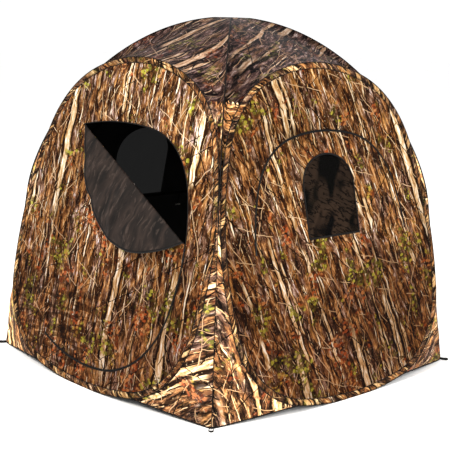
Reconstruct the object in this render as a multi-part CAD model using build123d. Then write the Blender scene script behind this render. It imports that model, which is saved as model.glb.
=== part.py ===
from build123d import *
import math
import os

os.makedirs("parts", exist_ok=True)

# Pop up ground blind: four spring-steel hoops, each holding one fabric wall, sewn together
# at the corners, with corner gussets below and a four-gore roof above. Millimetres, +Z up,
# origin on the ground under the apex. The door wall faces -Y.

# ---- driving dimensions -------------------------------------------------------------
FOOT_HALF = 750.0            # ground corner to centre line, along X and along Y
WALL_FOOT = 846.0            # hoop plane to centre line, at ground level
WALL_LEAN = 0.225            # inward lean of each wall, mm per mm of height
APEX_Z = 1605.0              # top of the roof
FABRIC = 1.2                 # coated polyester as modelled
MESH_T = 0.8

HOOP_FOOT = 11.15            # hoop centre line above the ground, along the wall
HOOP_ARCS = [(1700.0, 11.0), (402.0, 71.0), (1500.0, 28.5), (465.0, 46.0)]
BAND_RADIAL = 1.6            # flat spring-steel band
BAND_WIDTH = 5.5
FERRULE_LENGTH = 60.0        # crimped joint of the band's two ends
SLEEVE_HALF = 11.0           # sleeve, half its width along the wall
SLEEVE_THICK = 4.0           # sleeve, half its thickness
SLEEVE_CLOTH = 0.6

DOOR_HINGE_U = -325.0        # door's hinge line, along the wall
DOOR_START = (-325.0, 1131.5)
DOOR_HEADING = 11.9
DOOR_ARCS = [(1480.0, -18.9), (356.0, -64.2), (897.0, -32.3), (414.0, -69.2), (864.0, -30.6)]
DOOR_SIDE_ARC = 2            # index of the arc that the slider runs on
CHORD_A = (-273.0, 1109.0)   # fold line of the opened flap
CHORD_B = (490.0, 712.0)
FLAP_REST = 166.0            # the flap hangs folded out and down
FLAP_AXIS_W = 1.6

WINDOW_HINGE_S = 690.0       # fold line of a window panel
WINDOW_START = (-479.0, 695.0)
WINDOW_HEADING = 86.5
WINDOW_SIDE = (795.0, -18.5)
WINDOW_SHOULDER = (322.0, -54.0)
MESH_HALF = 160.0
MESH_BOTTOM = 706.0
MESH_SPRING = 922.0          # where the mesh arch leaves its straight sides
MESH_SHOULDER = (130.0, 62.0)

TAPE_IN = 1.2                # zip: tooth line to the tape's inner edge
TAPE_OUT = 7.8
TAPE_T = 2.4
CUT = 8.1                    # fabric edge from the tooth line

SEAM_HALF = 2.5              # corner seam binding, half thickness
TRIM = 3.6                   # fabric edge from the diagonal plane
EDGE_GAP = 3.2               # gusset and roof edge from the sleeve
SEAM_Z = 790.0               # where neighbouring sleeves meet
RIDGE_R = 954.6
RIDGE_Z = 760.0
RIDGE_START_Z = 830.0

SIDES = {"front": 0, "right": 90, "back": 180, "left": 270}
TILT = math.atan(WALL_LEAN)
WALL = Plane(
    origin=(0, -WALL_FOOT, 0),
    x_dir=(1, 0, 0),
    z_dir=(0, -math.cos(TILT), math.sin(TILT)),
)


# ---- helpers ------------------------------------------------------------------------
def chain(start, heading, pieces):
    """Tangent arcs from a start point: (centre, radius, start angle, sweep) for each."""
    x, y = start
    out = []
    for radius, turn in pieces:
        side = 1 if turn > 0 else -1
        h = math.radians(heading)
        cx = x - side * radius * math.sin(h)
        cy = y + side * radius * math.cos(h)
        angle = heading - 90 * side
        out.append((cx, cy, radius, angle, turn))
        heading += turn
        end = math.radians(angle + turn)
        x = cx + radius * math.cos(end)
        y = cy + radius * math.sin(end)
    return out


def end_of(arc):
    cx, cy, radius, angle, turn = arc
    a = math.radians(angle + turn)
    return (cx + radius * math.cos(a), cy + radius * math.sin(a))


def shifted(arcs, outward):
    """Edges of a clockwise or counter-clockwise chain, moved outward from its centre."""
    return [CenterArc((cx, cy), r + outward, a, t) for cx, cy, r, a, t in arcs]


def sheet(edges, thick=FABRIC):
    """A flat cloth of the given outline, centred on the wall plane."""
    face = make_face(edges)
    solid = extrude(face, amount=thick / 2, dir=(0, 0, 1), both=True)
    return solid


def closed(edges):
    """The chain's edges with a straight line from the last end to the first start."""
    return edges + [Line(edges[-1] @ 1, edges[0] @ 0)]


def ribbon(arcs, inner, outer, thick):
    """A strip that follows an open chain, between two distances from it."""
    a = shifted(arcs, inner)
    b = shifted(arcs, outer)
    ends = [Line(a[0] @ 0, b[0] @ 0), Line(a[-1] @ 1, b[-1] @ 1)]
    return sheet(a + b + ends, thick)


def half_plane(p, q, size=4000.0):
    """A big block on the left of the line from p to q, seen along -Z."""
    direction = Vector(q[0] - p[0], q[1] - p[1], 0).normalized()
    middle = ((p[0] + q[0]) / 2, (p[1] + q[1]) / 2, 0)
    plane = Plane(origin=middle, x_dir=direction, z_dir=(0, 0, 1))
    return plane.location * (Pos(0, size / 2, 0) * Box(size, size, 60))


def place(shape, side):
    return Rot(0, 0, SIDES[side]) * (WALL.location * shape)


def world(u, s, w=0.0):
    return WALL.from_local_coords(Vector(u, s, w))


def save(shape, name):
    solids = shape.solids()
    body = solids[0] if len(solids) == 1 else Compound(children=list(solids))
    body.label = name
    export_step(body, "parts/" + name + ".step")
    print(name, len(solids), round(sum(s.volume for s in solids)))


def polyhedron(rings, shift):
    """A thin closed solid: a strip of facets between two point rows, and its shifted copy."""
    tris = []
    for low, high in zip(rings[:-1], rings[1:]):
        for i in range(len(low) - 1):
            tris.append((low[i], low[i + 1], high[i + 1]))
            tris.append((low[i], high[i + 1], high[i]))
    tris = [t for t in tris if spread(t) > 1e-3]
    faces = []
    edges = {}
    for a, b, c in tris:
        faces.append(Face(Wire.make_polygon([a, b, c])))
        faces.append(Face(Wire.make_polygon([a + shift, b + shift, c + shift])))
        for p, q in ((a, b), (b, c), (c, a)):
            key = frozenset((tuple(round(v, 4) for v in p), tuple(round(v, 4) for v in q)))
            edges.setdefault(key, []).append((p, q))
    for uses in edges.values():
        if len(uses) == 1:
            p, q = uses[0]
            faces.append(Face(Wire.make_polygon([p, q, q + shift, p + shift])))
    solid = Solid(Shell(faces))
    return solid if solid.volume > 0 else Solid(solid.wrapped.Reversed())


def spread(t):
    return (t[1] - t[0]).cross(t[2] - t[0]).length


# ---- hoop, sleeve and wall outline ----------------------------------------------------
def hoop_chain():
    """The whole hoop outline, counter-clockwise from the left end of its bottom arc."""
    bottom = HOOP_ARCS[0]
    start = (-bottom[0] * math.sin(math.radians(bottom[1])),
             HOOP_FOOT + bottom[0] * (1 - math.cos(math.radians(bottom[1]))))
    right = HOOP_ARCS[1:]
    half = chain(start, -bottom[1], [(bottom[0], 2 * bottom[1])] + right)
    left_over = 180.0 - sum(a for _, a in HOOP_ARCS)
    top_radius = end_of(half[-1])[0] / math.sin(math.radians(left_over))
    pieces = [(bottom[0], 2 * bottom[1])] + right + [(top_radius, 2 * left_over)]
    pieces += list(reversed(right))
    return chain(start, -bottom[1], pieces)


HOOP = hoop_chain()


def make_hoop():
    outer = sheet(shifted(HOOP, BAND_RADIAL / 2), BAND_WIDTH)
    inner = sheet(shifted(HOOP, -BAND_RADIAL / 2), BAND_WIDTH * 2)
    return outer - inner


def make_ferrule():
    """A crimped tube round the band at the middle of the bottom arc."""
    cx, cy, radius, _, _ = HOOP[0]
    half = math.degrees(FERRULE_LENGTH / 2 / radius)
    arc = [(cx, cy, radius, -90 - half, 2 * half)]
    shell = ribbon(arc, -1.6, 1.6, 6.5)
    return shell - ribbon([(cx, cy, radius, -92 - half, 4 + 2 * half)], -1.0, 1.0, 5.7)


def lens(half, thick):
    """Pointed oval section: flat seam edges and a fuller middle."""
    points = [
        (half, 0.6), (half * 0.62, thick * 0.86), (half * 0.25, thick),
        (-half * 0.25, thick), (-half * 0.62, thick * 0.86), (-half, 0.6),
        (-half, -0.6), (-half * 0.62, -thick * 0.86), (-half * 0.25, -thick),
        (half * 0.25, -thick), (half * 0.62, -thick * 0.86), (half, -0.6),
    ]
    return points


def sleeve_piece(arc, outline):
    """One arc of the sleeve: a section turned about the arc's centre."""
    cx, cy, radius, angle, turn = arc
    a = math.radians(angle)
    start = Plane(
        origin=(cx + radius * math.cos(a), cy + radius * math.sin(a), 0),
        x_dir=(math.cos(a), math.sin(a), 0),
        z_dir=(math.sin(a), -math.cos(a), 0),
    )
    face = start.location * make_face(Polyline(*outline, close=True))
    return revolve(face, axis=Axis((cx, cy, 0), (0, 0, 1)), revolution_arc=turn)


def make_sleeve():
    outer = lens(SLEEVE_HALF, SLEEVE_THICK)
    inner_half = SLEEVE_HALF - 2.4
    inner_thick = SLEEVE_THICK - SLEEVE_CLOTH
    inner = [(x / SLEEVE_HALF * inner_half, y / SLEEVE_THICK * inner_thick) for x, y in outer]
    parts_out = [sleeve_piece(arc, outer) for arc in HOOP]
    parts_in = [sleeve_piece(arc, inner) for arc in HOOP]
    whole = parts_out[0].fuse(*parts_out[1:])
    hollow = parts_in[0].fuse(*parts_in[1:])
    return whole - hollow


def wall_blank():
    return sheet(shifted(HOOP, -SLEEVE_HALF - 0.3))


# ---- door -----------------------------------------------------------------------------
DOOR = chain(DOOR_START, DOOR_HEADING, DOOR_ARCS)


def door_hole():
    edges = shifted(DOOR, CUT)
    hole = sheet(closed(edges), 20)
    return hole & half_plane((DOOR_HINGE_U, 2000), (DOOR_HINGE_U, 0))


def door_cloth():
    cloth = sheet(closed(shifted(DOOR, -CUT)))
    return cloth & half_plane((DOOR_HINGE_U + 1, 2000), (DOOR_HINGE_U + 1, 0))


def below_chord(gap=0.8):
    dx, dy = CHORD_B[0] - CHORD_A[0], CHORD_B[1] - CHORD_A[1]
    n = math.hypot(dx, dy)
    off = (dy / n * gap, -dx / n * gap)
    a = (CHORD_A[0] + off[0], CHORD_A[1] + off[1])
    b = (CHORD_B[0] + off[0], CHORD_B[1] + off[1])
    return half_plane(b, a)


def above_chord(gap=0.8):
    dx, dy = CHORD_B[0] - CHORD_A[0], CHORD_B[1] - CHORD_A[1]
    n = math.hypot(dx, dy)
    off = (-dy / n * gap, dx / n * gap)
    a = (CHORD_A[0] + off[0], CHORD_A[1] + off[1])
    b = (CHORD_B[0] + off[0], CHORD_B[1] + off[1])
    return half_plane(a, b)


def fold_flap(shape):
    """Turn the flap about its chord, from closed to hanging outside."""
    axis = Axis(
        (CHORD_A[0], CHORD_A[1], FLAP_AXIS_W),
        (CHORD_A[0] - CHORD_B[0], CHORD_A[1] - CHORD_B[1], 0),
    )
    return shape.rotate(axis, -FLAP_REST)


# ---- window ---------------------------------------------------------------------------
def window_chain():
    half = chain(WINDOW_START, WINDOW_HEADING, [WINDOW_SIDE, WINDOW_SHOULDER])
    left_over = WINDOW_HEADING + WINDOW_SIDE[1] + WINDOW_SHOULDER[1]
    radius = -end_of(half[-1])[0] / math.sin(math.radians(left_over))
    pieces = [WINDOW_SIDE, WINDOW_SHOULDER, (radius, -2 * left_over)]
    pieces += [WINDOW_SHOULDER, WINDOW_SIDE]
    return chain(WINDOW_START, WINDOW_HEADING, pieces)


WINDOW = window_chain()


def window_region(offset, bottom, thick):
    """Everything inside the arch zip and above the fold line."""
    arch = sheet(closed(shifted(WINDOW, offset)), thick)
    wide = 2 * (offset - WINDOW_START[0])
    skirt = Pos(0, WINDOW_START[1] - 3, 0) * Box(wide, 10, thick)
    return (arch + skirt) & half_plane((-2000, bottom), (2000, bottom))


def mesh_outline(inset):
    """The arched mesh window: straight sides, two shoulders and a flatter crown."""
    radius, turn = MESH_SHOULDER
    crown = 90 - turn
    reach = MESH_HALF - radius * (1 - math.cos(math.radians(turn)))
    crown_radius = reach / math.sin(math.radians(crown))
    arcs = chain((MESH_HALF, MESH_SPRING), 90, [(radius, turn), (crown_radius, 2 * crown),
                                                (radius, turn)])
    arch = shifted(arcs, -inset)
    foot = MESH_BOTTOM + inset
    half = MESH_HALF - inset
    base = [
        Line(arch[-1] @ 1, (-half, foot)),
        Line((-half, foot), (half, foot)),
        Line((half, foot), arch[0] @ 0),
    ]
    return arch + base


# ---- zip slider and pull --------------------------------------------------------------
def slider_frame(arc, angle):
    """Local frame on a zip: X away from the opening, Y along the zip, Z out of the wall."""
    cx, cy, radius, _, _ = arc
    a = math.radians(angle)
    return Plane(
        origin=(cx + radius * math.cos(a), cy + radius * math.sin(a), 0),
        x_dir=(math.cos(a), math.sin(a), 0),
        z_dir=(0, 0, 1),
    )


def make_slider():
    """A C-shaped slider that runs on the wall's side of the zip, with a bail on top."""
    body = Pos(4.6, 0, 0) * Box(8.8, 13, 6.0)
    slot = Pos(5.3, 0, 0) * Box(8.6, 20, 3.2)
    body = body - slot
    bail = Pos(1.6, 0, 4.4) * Box(1.2, 3.2, 3.0)
    bail += Pos(7.8, 0, 4.4) * Box(1.2, 3.2, 3.0)
    bail += Pos(4.7, 0, 4.9) * Rot(0, 90, 0) * Cylinder(0.8, 6.4)
    return body + bail


def make_pull():
    """A tab whose eye turns on the bail's bar."""
    eye = Pos(4.7, 0, 4.9) * Rot(0, 90, 0) * Cylinder(1.9, 4.2)
    tab = Pos(4.7, -18.5, 4.9) * Box(4.2, 35, 1.4)
    grip = Pos(4.7, -40, 4.9) * Box(7.0, 16, 2.4)
    hole = Pos(4.7, 0, 4.9) * Rot(0, 90, 0) * Cylinder(1.1, 12)
    return (eye + tab + grip) - hole


# ---- corner gussets, roof and seams ---------------------------------------------------
def outline_points(offset, low, high, count):
    """Points on the right half of the hoop outline between two heights along the wall."""
    pts = []
    for cx, cy, radius, angle, turn in HOOP[:5]:
        steps = max(6, int(abs(turn) * radius / 400))
        for k in range(steps):
            a = math.radians(angle + turn * k / steps)
            pts.append((cx + (radius + offset) * math.cos(a), cy + (radius + offset) * math.sin(a)))
    pts = [p for p in pts if low <= p[1] <= high and p[0] > 0]
    step = (len(pts) - 1) / (count - 1)
    return [pts[round(i * step)] for i in range(count)]


def inside_diagonal(p, trim=TRIM):
    """Keep a point of the door wall's fabric clear of the diagonal plane, |x| under |y|."""
    gap = (-p.Y - abs(p.X)) / math.sqrt(2)
    if gap >= trim:
        return p
    move = (trim - gap) / math.sqrt(2)
    return Vector(math.copysign(abs(p.X) - move, p.X), p.Y - move, p.Z)


def mirror_points(row):
    return [Vector(-p.X, p.Y, p.Z) for p in reversed(row)]


def make_gussets():
    """Two triangles from the sleeve's lower corners out to the ground corners."""
    count = 20
    rim = [world(u, s) for u, s in outline_points(SLEEVE_HALF + EDGE_GAP, 30, 800, count)]
    corner = inside_diagonal(Vector(FOOT_HALF, -FOOT_HALF, 2.0))
    reach = WALL_FOOT - WALL_LEAN * rim[-1].Z
    top = inside_diagonal(Vector(reach, -reach, rim[-1].Z))
    seam = []
    for i in range(count):
        climb = max(0.0, (i / (count - 1) - 0.4) / 0.6) ** 1.25
        seam.append(corner + (top - corner) * climb)
    right = polyhedron([rim, seam], Vector(-0.4, 1.0, 0))
    left = polyhedron([mirror_points(rim), mirror_points(seam)], Vector(0.4, 1.0, 0))
    return Compound(children=[right, left])


def ridge_point(z):
    """A roof seam's point in the front right diagonal plane, at a given height."""
    k = max(0.0, min(1.0, (z - RIDGE_Z) / (APEX_Z - RIDGE_Z)))
    r = RIDGE_R * math.sqrt(1 - k ** 1.5)
    return Vector(r / math.sqrt(2), -r / math.sqrt(2), z)


def ridge_row(count):
    """Evenly spread heights along the seam, closer together near the apex."""
    row = []
    for i in range(count):
        t = i / (count - 1)
        z = RIDGE_START_Z + (APEX_Z - 2.0 - RIDGE_START_Z) * math.sin(t * math.pi / 2)
        row.append(ridge_point(z))
    row[-1] = Vector(0, 0, APEX_Z - 2.0)
    return row


def make_roof_gore():
    """One fabric triangle from the hoop's upper half to the two roof seams and the apex."""
    count = 24
    low = RIDGE_START_Z / math.cos(TILT)
    rim = outline_points(SLEEVE_HALF + EDGE_GAP, low, 3000, count - 1)
    crown = HOOP[4][1] + HOOP[4][2] + SLEEVE_HALF + EDGE_GAP
    rim = [world(u, s) for u, s in rim] + [world(0, crown)]
    ridge = [inside_diagonal(p) for p in ridge_row(count)]
    ridge[-1] = Vector(0, -2 * TRIM, APEX_Z - 2.0)
    rim = [inside_diagonal(p) for p in rim]
    middle = [rim[i] + (ridge[i] - rim[i]) * 0.5 for i in range(count)]
    rows = [rim, middle, ridge]
    rows = [row + mirror_points(row)[1:] for row in rows]
    return polyhedron(rows, Vector(0, 0.8, -1.2))


def make_corner_seam():
    """Bound seam in the diagonal plane: ground corner, sleeve meeting, ridge and apex."""
    foot = Vector(FOOT_HALF * math.sqrt(2), 4.5)
    reach = (WALL_FOOT - WALL_LEAN * SEAM_Z) * math.sqrt(2)
    path = [foot, Vector(reach, SEAM_Z)]
    for p in ridge_row(13)[1:-1]:
        path.append(Vector(math.hypot(p.X, p.Y), p.Z))
    path.append(Vector(6.0, APEX_Z - 3.0))
    left, right = [], []
    for i, p in enumerate(path):
        back = path[max(i - 1, 0)]
        ahead = path[min(i + 1, len(path) - 1)]
        along = (ahead - back).normalized()
        across = Vector(-along.Y, along.X) * 2.5
        left.append(p + across)
        right.append(p - across)
    ring = [(v.X, v.Y) for v in left + list(reversed(right))]
    strip = extrude(make_face(Polyline(*ring, close=True)), amount=SEAM_HALF, both=True)
    diagonal = Plane(origin=(0, 0, 0), x_dir=(1, -1, 0), z_dir=(-1, -1, 0))
    return diagonal.location * strip


def make_stake_loop():
    """A webbing loop sewn to the ground corner, lying outward along the diagonal."""
    outer = SlotOverall(36, 22)
    inner = SlotOverall(28, 14)
    loop = extrude(outer - inner, amount=2.0)
    reach = FOOT_HALF * math.sqrt(2) + 21.5
    return Rot(0, 0, -45) * (Pos(reach, 0, 0) * loop)


# ---- build ----------------------------------------------------------------------------
hoop = make_hoop()
ferrule = make_ferrule()
sleeve = make_sleeve()
gussets = make_gussets()
gore = make_roof_gore()
seam = make_corner_seam()
loop = make_stake_loop()
blank = wall_blank()
slider = make_slider()
pull = make_pull()

for side, turn in SIDES.items():
    save(place(hoop, side), side + "_hoop")
    save(place(ferrule, side), side + "_ferrule")
    save(place(sleeve, side), side + "_sleeve")
    save(Rot(0, 0, turn) * gussets, side + "_gussets")
    save(Rot(0, 0, turn) * gore, side + "_roof_gore")
    save(Rot(0, 0, turn) * seam, side + "_corner_seam")
    save(Rot(0, 0, turn) * loop, side + "_stake_loop")

save(place(blank - door_hole(), "front"), "front_wall")
door_inner_zip = ribbon(DOOR, -TAPE_OUT, -TAPE_IN, TAPE_T)
keep = half_plane((DOOR_HINGE_U + 1, 2000), (DOOR_HINGE_U + 1, 0))
save(place(ribbon(DOOR, TAPE_IN, TAPE_OUT, TAPE_T) & keep, "front"), "door_zip")
save(place(door_cloth() & below_chord(), "front"), "door_panel")
save(place(door_inner_zip & keep & below_chord(), "front"), "door_panel_zip")
save(place(fold_flap(door_cloth() & above_chord()), "front"), "door_flap")
save(place(fold_flap(door_inner_zip & keep & above_chord()), "front"), "door_flap_zip")

side_arc = DOOR[DOOR_SIDE_ARC]
door_at = side_arc[3] + 0.46 * side_arc[4]
frame = slider_frame(side_arc, door_at)
save(place(frame.location * slider, "front"), "door_slider")
save(place(frame.location * pull, "front"), "door_pull")

window_arc = WINDOW[0]
window_at = window_arc[3] + 0.10 * window_arc[4]
for side in ("right", "back", "left"):
    hole = window_region(CUT, WINDOW_HINGE_S, 20)
    save(place(blank - hole, side), side + "_wall")
    cloth = window_region(-CUT, WINDOW_HINGE_S + 1, FABRIC)
    opening = sheet(mesh_outline(0), 20)
    save(place(cloth - opening, side), side + "_window_panel")
    save(place(sheet(mesh_outline(0.4), MESH_T), side), side + "_window_mesh")
    save(place(ribbon(WINDOW, TAPE_IN, TAPE_OUT, TAPE_T), side), side + "_window_zip")
    save(place(ribbon(WINDOW, -TAPE_OUT, -TAPE_IN, TAPE_T), side), side + "_window_panel_zip")
    frame = slider_frame(window_arc, window_at)
    save(place(frame.location * slider, side), side + "_window_slider")
    hanging = pull.mirror(Plane.XZ)
    save(place(frame.location * hanging, side), side + "_window_pull")

# key joint positions, for the record
for name, p in {
    "corner_axis_base": Vector(WALL_FOOT, -WALL_FOOT, 0),
    "door_hinge": world(DOOR_HINGE_U + 0.5, 600, 1.6),
    "flap_axis": world(CHORD_A[0], CHORD_A[1], FLAP_AXIS_W),
    "flap_axis_b": world(CHORD_B[0], CHORD_B[1], FLAP_AXIS_W),
    "door_slider_centre": world(side_arc[0], side_arc[1]),
    "window_slider_centre": world(window_arc[0], window_arc[1]),
    "window_hinge": world(0, WINDOW_HINGE_S + 0.3, 1.6),
    "door_end": Vector(*end_of(DOOR[-1])),
    "window_end": Vector(*end_of(WINDOW[-1])),
    "hoop_top": world(0, HOOP[4][1] + HOOP[4][2]),
}.items():
    print(name, tuple(round(v, 3) for v in p))
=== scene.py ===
import math

import bmesh
import bpy
import numpy as np
from mathutils import Matrix, Vector, geometry


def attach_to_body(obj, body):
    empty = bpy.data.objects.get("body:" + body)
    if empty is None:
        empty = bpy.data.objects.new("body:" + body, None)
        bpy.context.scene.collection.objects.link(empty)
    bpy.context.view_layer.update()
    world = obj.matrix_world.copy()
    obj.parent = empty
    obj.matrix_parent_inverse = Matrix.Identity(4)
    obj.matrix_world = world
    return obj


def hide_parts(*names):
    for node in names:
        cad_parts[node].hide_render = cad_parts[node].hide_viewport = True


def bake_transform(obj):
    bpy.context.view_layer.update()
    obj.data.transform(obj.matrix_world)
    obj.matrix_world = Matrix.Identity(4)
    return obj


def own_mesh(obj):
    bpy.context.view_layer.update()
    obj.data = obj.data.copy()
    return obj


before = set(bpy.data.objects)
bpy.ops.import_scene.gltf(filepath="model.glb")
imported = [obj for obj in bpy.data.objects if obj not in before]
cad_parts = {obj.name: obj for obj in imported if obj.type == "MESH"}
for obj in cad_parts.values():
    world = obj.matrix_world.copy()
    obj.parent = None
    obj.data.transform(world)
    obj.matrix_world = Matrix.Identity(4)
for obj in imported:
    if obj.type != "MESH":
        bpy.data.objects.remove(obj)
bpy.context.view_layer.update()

# ---- the blind's driving dimensions, as in the CAD model, in metres and degrees ---------------
FOOT_HALF = 0.750            # half the footprint, to the ground corners
WALL_FOOT = 0.846            # from the middle to the foot of a wall's plane
WALL_LEAN = 0.225            # how far a wall leans in for each metre of height
APEX_Z = 1.605
HOOP_FOOT = 0.01115          # the hoop's lowest point, up the slope
HOOP_ARCS = [(1.700, 11.0), (0.402, 71.0), (1.500, 28.5), (0.465, 46.0)]
DOOR_HINGE_U = -0.325
DOOR_START = (-0.325, 1.1315)
DOOR_HEADING = 11.9
DOOR_ARCS = [(1.480, -18.9), (0.356, -64.2), (0.897, -32.3), (0.414, -69.2), (0.864, -30.6)]
CHORD_A = np.array((-0.273, 1.109))    # the flap's fold line runs from here
CHORD_B = np.array((0.490, 0.712))     # to here
FLAP_REST = 166.0            # the hanging flap's turn from closed
WINDOW_HINGE_S = 0.690
WINDOW_START = (-0.479, 0.695)
WINDOW_HEADING = 86.5
WINDOW_SIDE = (0.795, -18.5)
WINDOW_SHOULDER = (0.322, -54.0)
MESH_HALF = 0.160
MESH_BOTTOM = 0.706
MESH_SPRING = 0.922
MESH_SHOULDER = (0.130, 62.0)
RIDGE_R = 0.9546             # the ridges' reach, and the height where they stand upright
RIDGE_Z = 0.760
SEAM_Z = 0.790               # the top of the corner gussets
TURNS = {"front": 0, "right": 90, "back": 180, "left": 270}
WINDOW_SIDES = ("right", "back", "left")
TILT = math.atan(WALL_LEAN)
S_AXIS = np.array((0.0, math.sin(TILT), math.cos(TILT)))
W_AXIS = np.array((0.0, -math.cos(TILT), math.sin(TILT)))

# ---- sizes that only this scene has, in metres --------------------------------------------------
CLOTH = 0.0008               # thickness of the cloth
CLOTH_LIFT = 0.0004          # the printed face stands this far out of the wall's plane
CLOTH_NET = 0.013            # spacing of a wall's net of triangles
MESH_THICK = 0.0005
ZIP_EDGE = 0.0050            # cloth edge from the tooth line of a zip
FOLD_EDGE = 0.0008           # cloth edge from a hinge line
SLEEVE_HALF, SLEEVE_TALL = 0.0132, 0.0050
SLEEVE_SIDES = 18
SLEEVE_LAP = 0.0105          # corner and roof cloths start this far outside the hoop's line
HEM_HEIGHT = 0.0050
LIGHT_TO = 1.255             # the corner cloth's lighter print reaches up to here
PRINT_STEP = 3.7             # each wall takes its own part of the print


# ---- outlines ----------------------------------------------------------------------------------
def chain(start, heading, pieces):
    """Tangent arcs from a point and a heading, as (centre x, centre y, radius, angle, turn)."""
    x, y = start
    out = []
    for radius, turn in pieces:
        side = 1 if turn > 0 else -1
        h = math.radians(heading)
        cx = x - side * radius * math.sin(h)
        cy = y + side * radius * math.cos(h)
        angle = heading - 90 * side
        out.append((cx, cy, radius, angle, turn))
        heading += turn
        x, y = end_of(out[-1])
    return out


def end_of(arc, outward=0.0):
    """Where an arc ends, moved outward from its centre."""
    cx, cy, radius, angle, turn = arc
    a = math.radians(angle + turn)
    return (cx + (radius + outward) * math.cos(a), cy + (radius + outward) * math.sin(a))


def sample(arcs, outward=0.0, step=0.012):
    """Points along a chain of arcs, moved outward from their centres, evenly spread."""
    pts = []
    for cx, cy, radius, angle, turn in arcs:
        n = max(2, int(abs(math.radians(turn)) * radius / step))
        for k in range(n):
            a = math.radians(angle + turn * k / n)
            pts.append((cx + (radius + outward) * math.cos(a), cy + (radius + outward) * math.sin(a)))
    pts.append(end_of(arcs[-1], outward))
    return np.array(pts)


def hoop_chain():
    """A hoop: its foot, then corner, side and shoulder, the crown, and the same back down."""
    radius, turn = HOOP_ARCS[0]
    start = (-radius * math.sin(math.radians(turn)),
             HOOP_FOOT + radius * (1 - math.cos(math.radians(turn))))
    right = HOOP_ARCS[1:]
    half = chain(start, -turn, [(radius, 2 * turn)] + right)
    rest = 180.0 - sum(a for _, a in HOOP_ARCS)
    top = end_of(half[-1])[0] / math.sin(math.radians(rest))
    pieces = [(radius, 2 * turn)] + right + [(top, 2 * rest)] + right[::-1]
    return chain(start, -turn, pieces)


def window_chain():
    """A window's zip: side, shoulder, crown, shoulder and side."""
    half = chain(WINDOW_START, WINDOW_HEADING, [WINDOW_SIDE, WINDOW_SHOULDER])
    rest = WINDOW_HEADING + WINDOW_SIDE[1] + WINDOW_SHOULDER[1]
    radius = -end_of(half[-1])[0] / math.sin(math.radians(rest))
    pieces = [WINDOW_SIDE, WINDOW_SHOULDER, (radius, -2 * rest), WINDOW_SHOULDER, WINDOW_SIDE]
    return chain(WINDOW_START, WINDOW_HEADING, pieces)


def mesh_outline(inset):
    """The window mesh's arch with its straight foot, as a closed loop."""
    radius, turn = MESH_SHOULDER
    crown = 90 - turn
    reach = MESH_HALF - radius * (1 - math.cos(math.radians(turn)))
    top = reach / math.sin(math.radians(crown))
    arcs = chain((MESH_HALF, MESH_SPRING), 90, [(radius, turn), (top, 2 * crown), (radius, turn)])
    arch = sample(arcs, -inset)
    half, foot = MESH_HALF - inset, MESH_BOTTOM + inset
    return np.vstack([arch, [(-half, foot), (half, foot)]])


HOOP = hoop_chain()
DOOR = chain(DOOR_START, DOOR_HEADING, DOOR_ARCS)
WINDOW = window_chain()


def to_world(u, s, w, side):
    """Wall coordinates (along, up the slope, outward) to the row frame."""
    u, s, w = (np.asarray(v, float) for v in (u, s, w))
    p = np.stack([u, u * 0 - WALL_FOOT, u * 0], -1)
    p = p + s[..., None] * S_AXIS + w[..., None] * W_AXIS
    return turned(p, side)


def on_wall(pts, w, side):
    """Points (along, up the slope) of a wall, all at the height w out of it."""
    return to_world(pts[:, 0], pts[:, 1], w, side)


def turned(p, side):
    """Points of the front wall, turned about the upright axis to another wall."""
    a = math.radians(TURNS[side])
    c, s = math.cos(a), math.sin(a)
    p = np.asarray(p, float)
    return np.stack([c * p[..., 0] - s * p[..., 1], s * p[..., 0] + c * p[..., 1], p[..., 2]], -1)


# ---- small numeric helpers ---------------------------------------------------------------------
def waves(x, y, seed, scale, stretch=1.0):
    """Smooth random relief from a seeded sum of 14 sines, about -1 to 1."""
    rng = np.random.default_rng(seed)
    total = np.zeros_like(x)
    weight = 0.0
    for _ in range(14):
        a = rng.uniform(0, 2 * math.pi)
        f = scale * rng.uniform(0.5, 2.0)
        p = rng.uniform(0, 2 * math.pi)
        amp = (scale / f) ** 0.8
        total += amp * np.sin(f * (x * math.cos(a) * stretch + y * math.sin(a)) + p)
        weight += amp * amp
    return total / math.sqrt(weight)


def inside(points, loop):
    """Which points lie inside a closed loop."""
    x, y = points[:, 0], points[:, 1]
    hit = np.zeros(len(points), bool)
    for (x0, y0), (x1, y1) in zip(loop, np.roll(loop, -1, 0)):
        if y0 == y1:
            continue
        cross = (y0 > y) != (y1 > y)
        hit ^= cross & (x < (x1 - x0) * (y - y0) / (y1 - y0) + x0)
    return hit


def distance(points, loop):
    """Distance from each point to the nearest segment of a closed loop."""
    best = np.full(len(points), 1e9)
    for a, b in zip(loop, np.roll(loop, -1, 0)):
        d = b - a
        n = max(float(d @ d), 1e-12)
        t = np.clip(((points - a) @ d) / n, 0, 1)
        q = points - a - t[:, None] * d
        best = np.minimum(best, np.hypot(q[:, 0], q[:, 1]))
    return best


def run_length(pts):
    """The length along a polyline at each of its points."""
    return np.concatenate([[0], np.cumsum(np.linalg.norm(np.diff(pts, axis=0), axis=1))])


def spread(pts, count):
    """Evenly spaced points on the same open polyline."""
    along = run_length(pts)
    t = np.linspace(0, along[-1], count)
    return np.stack([np.interp(t, along, column) for column in pts.T], 1)


def resampled(loop, step):
    """The same closed loop with evenly spaced points."""
    pts = np.vstack([loop, loop[:1]])
    pts = pts[np.concatenate([[True], np.diff(run_length(pts)) > 1e-7])]
    return spread(pts, max(3, int(run_length(pts)[-1] / step)) + 1)[:-1]


def densify(loop, step):
    """Keep every point of a closed loop and divide its long edges."""
    out = []
    for a, b in zip(loop, np.roll(loop, -1, 0)):
        n = max(1, int(np.hypot(*(b - a)) / step))
        out += [a + (b - a) * k / n for k in range(n)]
    return np.array(out)


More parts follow.
